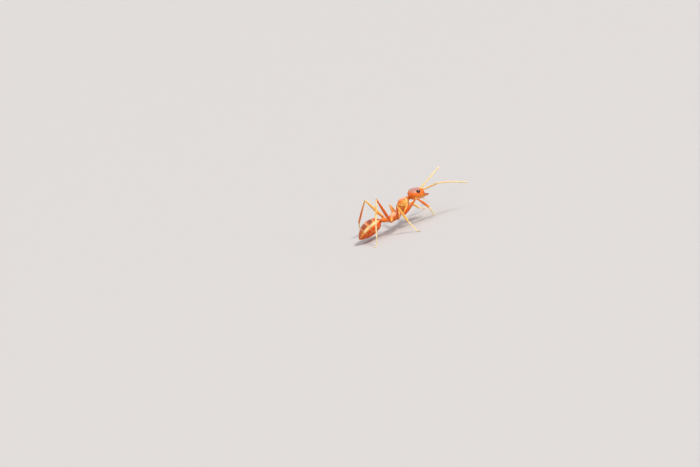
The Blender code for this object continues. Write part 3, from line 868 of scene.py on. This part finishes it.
def thorax_relief(rings):
    """The same as for the head."""
    x, y, z = np.moveaxis(rings, -1, 0)
    wide = np.abs(y)
    pro, meta = from_groove(rings, PRONOTAL_SUTURE), from_groove(rings, METANOTAL_SUTURE)
    up = normals(rings)[..., 2]
    above = smooth(up * 2 + 1)
    flank = smooth((wide - 0.16) / 0.12)

    height = lumps(rings, 0.2, 0.006)
    height += above * (-0.034 * bell(pro, 0.026) + 0.016 * bell(pro - 0.07, 0.05))
    height += above * (-0.04 * bell(meta, 0.045) + 0.014 * bell(meta + 0.11, 0.06))
    # darker in the pronotal and metanotal grooves: painted shade
    dark = above * (0.95 * bell(pro, 0.04) + 1.0 * bell(meta, 0.055))
    seam = from_groove(rings, FLANK_SEAM) + 0.22 * (wide - 0.3)
    on_seam = window(pro, -0.62, -0.02, 0.05)
    lower = z - 1.3 - 0.52 * (x + 0.6)  # the groove over the legs' roots
    on_lower = window(x, -0.95, 0.55, 0.1)
    height -= flank * (0.02 * bell(seam, 0.02) * on_seam + 0.018 * bell(lower, 0.022) * on_lower)
    # darker in the flank seam and the groove over the legs' roots: painted shade
    dark += 0.75 * flank * (bell(seam, 0.025) * on_seam + bell(lower, 0.026) * on_lower)
    collar = x - COLLAR
    height += 0.02 * bell(collar - 0.03, 0.03) - 0.022 * bell(collar + 0.05, 0.03)
    # darker just before the collar, towards the neck: painted shade
    dark += 0.6 * bell(collar - 0.06, 0.08)
    for spot, size in SPIRACLES:
        hole, shade = spiracle(rings, spot, size)
        height += hole
        dark += shade
    for pair in PAIRS:  # a swelling round each leg's root
        root = axis_points(f"coxa_{pair}_left", (0.3, 0.7))
        entry = root[np.argmax(root[:, 2])] - SHIFT
        height += 0.03 * bell(distance_from(rings, entry) - 0.3, 0.1) * smooth(-up * 2 + 1)
    height -= 0.13 * bell(x - 1.14, 0.3) * smooth(up * 1.6 - 0.3)  # the back's flat top

    # pale patches on the flank, a pale band at the pronotum's front edge and a pale ridge behind
    # the pronotal groove: painted highlights
    painted_side_highlight = bell(np.hypot((x - 0.95) / 0.42, (z - 2.5) / 0.3), 1.0)
    painted_side_highlight += bell(np.hypot(x - 0.3, z - 1.95), 0.22)
    pale = flank * (0.55 * painted_side_highlight + 0.65 * bell(collar + 0.12, 0.07))
    pale += 0.1 * smooth((-up - 0.1) / 0.8) + 0.5 * bell(pro - 0.09, 0.045) * above
    back = smooth((0.02 - x) / 0.2)  # further down the propodeum's sides
    # paler on faces that look up: painted sheen of sky reflection
    painted_sheen = 0.75 * smooth((up - 0.45 + 0.4 * back) / 0.45) * window(x, -0.9, 1.35, 0.15)
    return height, pale, dark, painted_sheen


def build_thorax():
    skin = body_skin("thorax", THORAX, thorax_relief, place)
    t = column("neck")
    folds = 0.012 * np.sin(t * 46)
    neck = place(spline(NECK, t[:, 0]))
    # the neck is darkened: painted shade between head and thorax
    skin.add("neck", sweep(neck, 0.165 + folds, "neck"), 0.05, 0.6)
    nodes = ["pronotum", "mesonotum", "propodeum", "neck"]
    dress("mesosoma", skin, body_cuticle, nodes)


def waist_relief(rings):
    x, y, z = np.moveaxis(rings, -1, 0)
    height = lumps(rings, 0.12, 0.005)
    height += 0.022 * bell(np.hypot(x + 1.7, y * 0.6), 0.1) * smooth(z - 1.6)
    hole, dark = spiracle(rings, *PETIOLE_SPIRACLE)
    height += hole + 0.014 * bell(y, 0.025) * smooth((1.45 - z) / 0.1)
    dark += 0.5 * bell(x + 1.14, 0.03) + 0.5 * bell(x + 2.12, 0.05)
    return height, 0.05, dark


def build_waist():
    skin = body_skin("waist", PETIOLE, waist_relief, place)
    dress("waist", skin, body_cuticle, ["petiole"])


def plate_shares(k, start, end):
    """Shares of the gaster's length at a plate's rings, closer together at its rounded end."""
    rows = FORMS["gaster"][0]
    first = max(start - PLATE_LAP, 0)
    if k == 0:
        steps = 1 - np.cos(np.linspace(0.04, pi / 2, rows))
    elif k == len(GASTER_EDGES):
        steps = np.sin(np.linspace(0, pi / 2 - 0.01, rows))
    else:
        steps = np.linspace(0, 1, rows)
    return first + (end - first) * steps


def plate_relief(k, rings, t, behind, ahead):
    """The same; behind and ahead are plate lengths from the rear and the front edge."""
    is_first, is_last = k == 0, k == len(GASTER_EDGES)
    turn = around("gaster")
    up = np.sin(turn)
    height = lumps(rings, 0.3, 0.01)
    if not is_first:
        height -= LIP * (1 - smooth((ahead + 0.02 - 0.02 * up**2) / 0.1)) * 1.3
    rear = 0 * behind
    if not is_last:
        rear = smooth(behind * 5 + 1)
        height -= 0.05 * smooth((behind + 0.035) / 0.035)**2
    height += 0.01 * rear
    low_edge = up + 0.34  # above 0 is the upper plate
    height -= 0.016 * smooth(-low_edge / 0.06) * (1 - 0.5 * rear)
    height += 0.01 * bell(low_edge - 0.05, 0.05)
    height -= 0.01 * bell(np.cos(turn), 0.03) * (up < 0)

    pale = 0.9 * bell(behind + 0.025, 0.04) * (not is_last) * smooth(up * 1.4 + 0.8)
    # a pale band along each plate's flank: painted highlight
    painted_flank_highlight = bell(up - 0.45, 0.14) * (1 - 0.2 * smooth(-behind * 1.5))  # pale flank
    pale = pale + (0.3 if is_last else 1.05) * painted_flank_highlight + 0.4 * bell(low_edge - 0.02, 0.03)
    pale = pale + (0.06 if is_first else 0.12) * smooth(up * 4)
    over = smooth((up - 0.52) / 0.34)
    dark = 0.88 * over * window(ahead, 0.0, 0.6, 0.26) * (0.45 if is_first else 1.0)
    if is_last:
        dark = 0.5 * over + 0.6 * smooth((t - 0.985) / 0.01)
    # a pale line along the back: painted sheen
    painted_sheen = (0.1 if is_first else 0.38) * smooth((up - 0.86) / 0.14)
    return height, pale, dark * (1 - 0.5 * painted_sheen), painted_sheen


def build_gaster():
    t = np.linspace(0, 1, 2000)
    x = spline(GASTER, t)[:, 0]
    edges = 0, *(np.interp(-edge, -x, t) for edge in GASTER_EDGES), 1  # shares of its length
    plate_length = edges[2] - edges[1]
    for k, (start, end) in enumerate(zip(edges, edges[1:])):
        t = plate_shares(k, start, end)[:, None]
        rings = loft(GASTER, t[:, 0], "gaster", INSET - 0.01)
        behind, ahead = (t - end) / plate_length, (t - start) / plate_length
        height, *tint = plate_relief(k, rings, t, behind, ahead)
        skin = Skin()
        skin.add("gaster", place(raise_by(rings, height)), *tint)
        dress(f"gaster_plate_{k + 1}", skin, gaster_cuticle,
              [f"gaster_segment_{k + 1}"], f"gaster_hairs_{k + 1}", hair_amber, 0.8)


# ---- legs

SHIN_SHARES = (0, 0.15, 0.55, 1)
# The legs' tones are partly their own colour, pale towards the feet, and partly painted light and
# shade: the right thighs are darkened with painted shade, the left ones lightened with painted
# light, and the shins carry painted highlights and shade of their own.
LEG_TONES_AND_PAINTED_LIGHT = {  # paleness at the thigh's ends, where below 0 is dark, and at the shin's shares
    "front_right": ((-0.05, 0.1), (0.2, 0.02, 0.02, 0.3)),
    "front_left": ((0.15, 0.3), (0.6, 0.45, 0.6, 0.8)),
    "mid_right": ((-0.15, 0.05), (0.75, 0.38, 0.34, 0.55)),
    "mid_left": ((0.05, 0.25), (0.45, 0.2, 0.2, 0.5)),
    "hind_right": ((-0.25, -0.12), (0.8, 0.62, 0.44, 0.98)),
    "hind_left": ((0.18, 0.48), (0.7, 0.38, 0.05, 0.15)),
}
CORNER_SHIFTS = (-0.06, -0.03, 0, 0.03, 0.06)  # shares over which a corner is rounded


def bent_path(points, t):
    """Points at shares t of a bent line's length, with its corners rounded."""
    places = distances(points)
    soft = 0
    for shift in CORNER_SHIFTS:
        near = np.clip(t + shift * np.minimum(1, 12 * np.minimum(t, 1 - t)), 0, 1)
        soft = soft + points_at(places / places[-1], points, near)
    return soft / len(CORNER_SHIFTS)


def add_foot(skin, ankle, heel, toe):
    """Five foot joints, two claws and the sticky pad between them."""
    ends = np.cumsum((0, *FOOT_SHARES))
    for k, (start, end, radius) in enumerate(zip(ends, ends[1:], FOOT_RADII)):
        form = "toe" if k else "instep"
        share = column(form)[:, 0]
        start += JOINT_GAP
        path = bent_path(np.array((ankle, heel, toe)), start + (end - start) * share)
        radii = radius * radius_at(TOE if k else INSTEP, share)
        skin.add(form, sweep(path, radii, form), 0.8 + 0.04 * k)
    ahead = unit((toe - heel) * (1, 1, 0))
    aside = np.cross(UP, ahead)
    root = toe - ahead * 0.02
    t = column("claw")
    length, radius = CLAW
    arch = UP * 0.03 * (np.sin(pi * t * 0.9) - t) + ahead * 0.03 * np.sin(pi * t)
    for sign in (-1, 1):
        claw = root + (ahead + aside * sign * 0.9) * length * t + arch
        skin.add("claw", sweep(claw, radius * (1 - t)**0.7 + 0.0015, "claw"), 0.1, 0.75)
    t = column("pad")
    length, radius = PAD
    radii = radius * np.sqrt(np.maximum(np.sin(pi * (0.12 + 0.86 * t)), 0.01))
    skin.add("pad", sweep(root + ahead * length * t - UP * 0.012 * t, radii, "pad"), 1)


def add_spur(skin, ankle, way, aside, length, bow):
    """The spur at the end of a shin.  A front leg's is bowed, to clean the feelers."""
    t = column("spur")
    path = ankle - way * 0.06 + aside * 0.07 + (way * 0.95 + aside * 0.25) * length * t
    path += aside * bow * np.sin(pi * t)
    skin.add("spur", sweep(path, 0.02 * (1 - t)**0.8 + 0.002, "spur"), 0.4, 0.1)


def add_coxa(skin, hip, trochanter, thigh, radius):
    """A leg's stout first joint, and the small one that links it to the thigh."""
    way = unit(trochanter - hip)
    profile = ((0, 0.02), (0.03, radius * 0.42), (0.08, radius * 0.66), (0.16, radius * 0.86),
               (0.3, radius), (0.6, radius * 0.95), (0.85, radius * 0.7), (0.96, 0.1), (1, 0.06))
    rings = joint_sweep(hip, trochanter - way * 0.02, profile, "coxa")
    share = column("coxa")
    forward = normals(rings)[..., 0]
    # paler towards the rear face and darker towards the front face: painted highlight and painted
    # shade; the darker ends are the joints' own colour
    pale = 0.08 + 0.5 * bell(forward + 0.3, 0.28)
    ends = 0.5 * bell(share, 0.12) + 0.3 * bell(share - 1, 0.05)
    dark = ends + 0.6 * smooth((forward - 0.15) / 0.5)
    skin.add("coxa", rings, pale, dark)
    ends = trochanter - way * 0.06, trochanter + thigh * 0.14
    skin.add("trochanter", joint_sweep(*ends, TROCHANTER, "trochanter"), 0.05, 0.15)


def add_thigh(skin, start, end, bend, radius, tones_and_light):
    profile = ((0, 0.06), (0.03, 0.085), (0.12, radius * 0.82), (0.32, radius), (0.6, radius * 0.9),
               (0.86, 0.098), (0.955, 0.106), (0.99, 0.085), (1, 0.05))
    rings = joint_sweep(start, end, profile, "femur", bend * -0.03, 0.86)
    rings = raise_by(rings, lumps(rings, 0.11, 0.004))
    share = column("femur")
    # this tone is partly the thigh's colour, partly painted light and shade
    tone_and_light = np.interp(share, (0.1, 0.9), tones_and_light)
    pale = np.maximum(tone_and_light, 0) + 0.3 * bell(share - 0.97, 0.035)
    dark = np.maximum(-tone_and_light, 0) + 0.6 * bell(share - 1, 0.012)
    skin.add("femur", rings, pale, dark)


def add_shin(skin, start, end, bend, radius, tones_and_light):
    profile = ((0, 0.04), (0.02, 0.072), (0.06, 0.066), (0.12, 0.075), (0.5, radius * 0.92),
               (0.85, radius), (0.96, radius * 0.96), (1, 0.05))
    rings = joint_sweep(start, end, profile, "tibia", bend * 0.035, 0.9)
    rings = raise_by(rings, lumps(rings, 0.09, 0.003))
    share = column("tibia")
    dark = 0.6 * bell(share, 0.012) + 0.25 * bell(share - 1, 0.012)
    # these tones are partly the shin's colour, partly painted light and shade
    skin.add("tibia", rings, np.interp(share, SHIN_SHARES, tones_and_light), dark)


def build_leg(pair, side):
    name = f"{pair}_{side}"
    thigh_tones_and_light, shin_tones_and_light = LEG_TONES_AND_PAINTED_LIGHT[name]
    hip, trochanter, knee, ankle, heel, toe = joints = leg_joints(name)
    _, thigh, shin, foot, _ = unit(np.diff(joints, axis=0))
    bend = unit(thigh - shin)  # towards the outside of the knee
    coxa, femur, tibia, *spur = LEG_SIZES[pair]
    skin = Skin()
    add_coxa(skin, hip, trochanter, thigh, coxa)
    add_thigh(skin, trochanter + thigh * 0.1, knee + thigh * 0.02, bend, femur, thigh_tones_and_light)
    add_shin(skin, knee - thigh * 0.02 + shin * 0.01, ankle + shin * 0.01, bend, tibia, shin_tones_and_light)
    inside = unit(shin * np.dot(shin, bend) - bend)  # across the shin
    add_spur(skin, ankle, foot, inside, *spur)
    add_foot(skin, ankle + foot * 0.02, heel, toe)
    nodes = [f"{part}_{name}" for part in LEG_PARTS]
    dress(f"leg_{name}", skin, leg_cuticle, nodes, thin=0.85)


# ---- stage, light and camera

VIEW_ANGLES = (14, 15, 19.5)  # from the ant's right to its front, up, and how far it rolls
VIEW_DISTANCE = 209
LENS, SENSOR = 100.0, 36.0
AIM_RIGHT, AIM_UP = 5.65, 0.67  # how far the thorax is from the view's middle
FLOOR_HALF = 4.0  # metres
PAPER = (0.535, 0.525, 0.51, 1)
BACKDROP = (0.92, 0.9, 0.89, 1)
LAMPS = (  # name, way to it, width in degrees of sky, power, colour
    ("key", (80, -85, 150), 12, 2.7, (1.0, 0.965, 0.91)),
    ("sky", (-40, 10, 200), 60, 1.2, (0.87, 0.85, 1.0)),
    ("fill", (60, -170, 25), 70, 0.45, (1.0, 0.96, 0.92)),
)


def build_floor():
    mesh = bpy.data.meshes.new("floor")
    corners = np.array(((-1, -1, 0), (1, -1, 0), (1, 1, 0), (-1, 1, 0))) * FLOOR_HALF
    mesh.from_pydata(corners, [], [(0, 1, 2, 3)])
    paper = bpy.data.materials.new("paper")
    paper.use_nodes = True
    shader = paper.node_tree.nodes["Principled BSDF"]
    set_inputs(shader, {"Base Color": PAPER, "Roughness": 0.85})
    mesh.materials.append(paper)
    floor = new_object("floor", mesh)


def build_backdrop():
    """Soft light from all round, stronger from the horizon than from overhead."""
    world = bpy.data.worlds.new("studio")
    bpy.context.scene.world = world
    world.use_nodes = True
    tree = world.node_tree
    direction = add_node(tree, "TexCoord").outputs["Generated"]
    axes = add_node(tree, "SeparateXYZ", {"Vector": direction})
    fade = add_node(tree, "MapRange", {
        "Value": axes.outputs["Z"], "From Max": 0.45, "To Min": 0.81, "To Max": 0.38})
    strength = fade.outputs["Result"]
    set_inputs(tree.nodes["Background"], {"Color": BACKDROP, "Strength": strength})
    bpy.context.scene.view_settings.view_transform = "Standard"


def to_matrix(axes, spot):
    """Object matrix from three axes and a place in millimetres."""
    rows = np.column_stack((*axes, np.multiply(spot, MM)))
    return Matrix((*rows.tolist(), (0, 0, 0, 1)))


def add_lamps():
    for name, spot, width, power, colour in LAMPS:
        data = bpy.data.lights.new(name, "SUN")
        data.angle = radians(width)
        data.energy = power
        data.color = colour
        back = unit(spot)
        right = unit(np.cross((0, 0.01, 1), back))
        axes = right, np.cross(back, right), back
        new_object(name, data).matrix_world = to_matrix(axes, spot)


def add_camera():
    swing, rise, roll = np.radians(VIEW_ANGLES)
    level = np.array((cos(swing), -sin(swing), 0))
    upward = np.array((sin(swing) * sin(rise), cos(swing) * sin(rise), cos(rise)))
    back = np.cross(level, upward)
    right = level * cos(roll) - upward * sin(roll)
    top = level * sin(roll) + upward * cos(roll)
    data = bpy.data.cameras.new("camera")
    data.lens = LENS
    data.sensor_width = SENSOR
    data.clip_start = 0.005
    data.clip_end = 20.0
    camera = new_object("camera", data)
    spot = SHIFT - right * AIM_RIGHT - top * AIM_UP + back * VIEW_DISTANCE
    camera.matrix_world = to_matrix((right, top, back), spot)
    bpy.context.scene.camera = camera


# ---- assembly

build_floor()
build_backdrop()
add_lamps()
add_camera()
build_head()
build_mouth()
build_thorax()
build_waist()
build_gaster()
for body_side, body_sign in SIDES.items():
    build_eye(body_side, body_sign)
    build_jaw(body_side, body_sign)
    build_feeler(body_side, body_sign)
    for leg_pair in PAIRS:
        build_leg(leg_pair, body_side)
